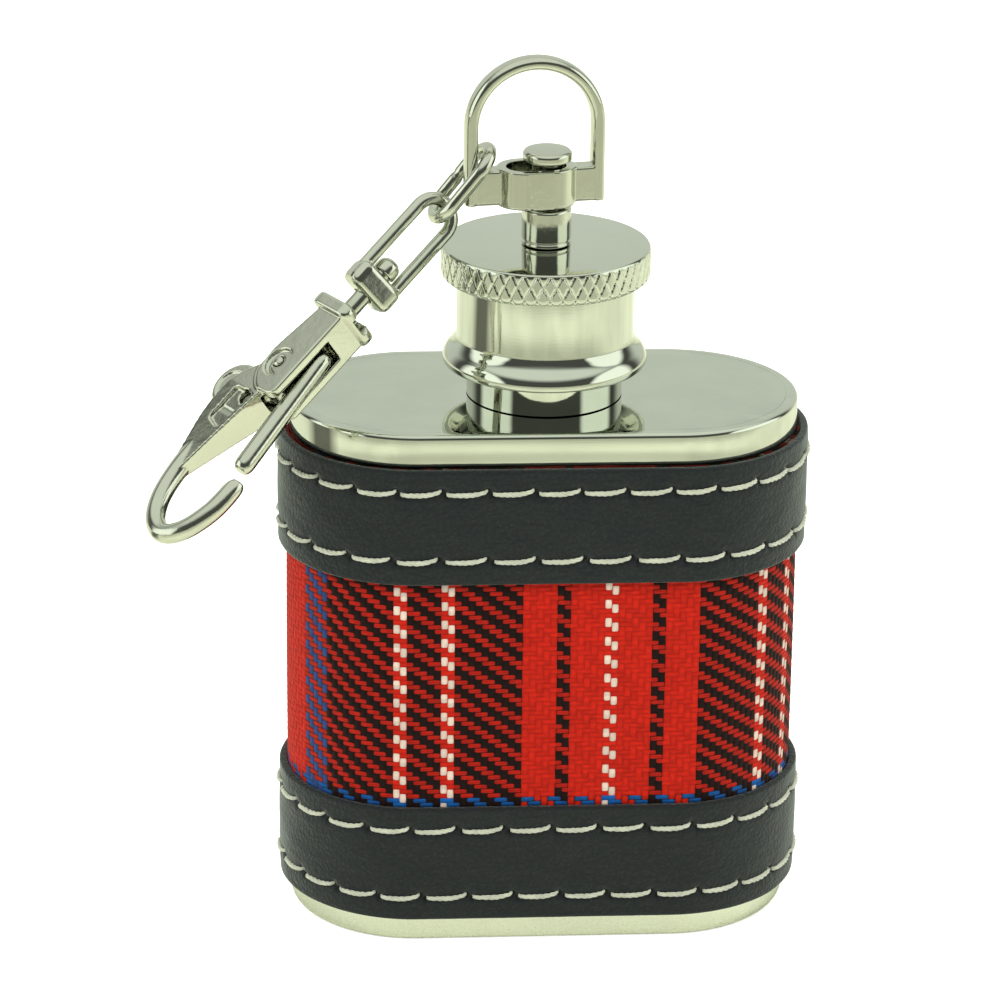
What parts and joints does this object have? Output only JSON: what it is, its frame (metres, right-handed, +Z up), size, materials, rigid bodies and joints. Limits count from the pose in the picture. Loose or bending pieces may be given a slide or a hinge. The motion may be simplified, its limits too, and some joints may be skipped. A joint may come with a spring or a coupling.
{
  "type": "hip flask",
  "caption": "Miniature oval keychain hip flask with a tartan and leather wrap, a knurled screw cap, a swivel bail, a link and a trigger clasp.",
  "frame": {"origin": "centre of the flask's flat base", "axes": "+Z up along the neck, broad front face towards -Y, clasp hanging off the -X end"},
  "size_m": [0.0571, 0.0316, 0.0765],
  "materials": {
    "body_steel": "polished stainless steel",
    "fitting_nickel": "polished nickel plate",
    "tartan_cloth": "woven tartan twill",
    "band_leather": "fine-grained charcoal leather",
    "stitch_thread": "waxed off-white thread",
    "insert_plastic": "moulded plastic",
    "gasket_silicone": "silicone"
  },
  "bodies": {
    "flask": {"base_plate": "body_steel", "top_plate": "body_steel", "body_wall": "body_steel", "threaded_neck": "body_steel", "tartan_sleeve": "tartan_cloth", "lower_leather_band": "band_leather", "upper_leather_band": "band_leather", "lower_band_bottom_stitching": "stitch_thread", "lower_band_top_stitching": "stitch_thread", "upper_band_bottom_stitching": "stitch_thread", "upper_band_top_stitching": "stitch_thread"},
    "post": {"swivel_post": "fitting_nickel"},
    "cap": {"cap_shell": "body_steel", "cap_insert": "insert_plastic", "cap_gasket": "gasket_silicone"},
    "bail": {"swivel_bail": "fitting_nickel"},
    "link": {"chain_link": "fitting_nickel"},
    "eye": {"swivel_eye": "fitting_nickel"},
    "clasp": {"clasp_hook": "fitting_nickel", "swivel_pin": "fitting_nickel", "gate_rivet": "fitting_nickel", "gate_spring": "fitting_nickel"},
    "gate": {"gate_lever": "fitting_nickel"}
  },
  "joints": [
    {"name": "cap_lift", "type": "slide", "parent": "flask", "child": "post", "axis": [0, 0, 1], "range_m": [0, 0.0045]},
    {"name": "cap_turn", "type": "hinge", "parent": "post", "child": "cap", "pos_m": [0, 0, 0.0555], "axis": [0, 0, 1], "range_deg": [0, 1080]},
    {"name": "bail_swivel", "type": "hinge", "parent": "post", "child": "bail", "pos_m": [0, 0, 0.0655], "axis": [0, 0, 1], "range_deg": [0, 120]},
    {"name": "link_swing", "type": "hinge", "parent": "bail", "child": "link", "pos_m": [-0.00495, -0.0007, 0.06857], "axis": [-0.1392, 0.9903, 0], "range_deg": [0, 50], "stiffness_Nm_per_rad": 0.002},
    {"name": "eye_swing", "type": "hinge", "parent": "link", "child": "eye", "pos_m": [-0.00951, -0.00134, 0.063], "axis": [-0.1392, 0.9903, 0], "range_deg": [0, 40], "stiffness_Nm_per_rad": 0.002},
    {"name": "clasp_swivel", "type": "hinge", "parent": "eye", "child": "clasp", "pos_m": [-0.0178, -0.00685, 0.05545], "axis": [0.6699, 0.4152, 0.6155], "continuous": true},
    {"name": "gate_open", "type": "hinge", "parent": "clasp", "child": "gate", "pos_m": [-0.02193, -0.00918, 0.05177], "axis": [0.4732, 0.4, -0.7849], "range_deg": [0, 18], "stiffness_Nm_per_rad": 0.01, "deforming": ["gate_spring"]}
  ],
  "couplings": [
    {"joint": "cap_turn", "follows": "cap_lift", "rad_per_m": 4188.8}
  ]
}
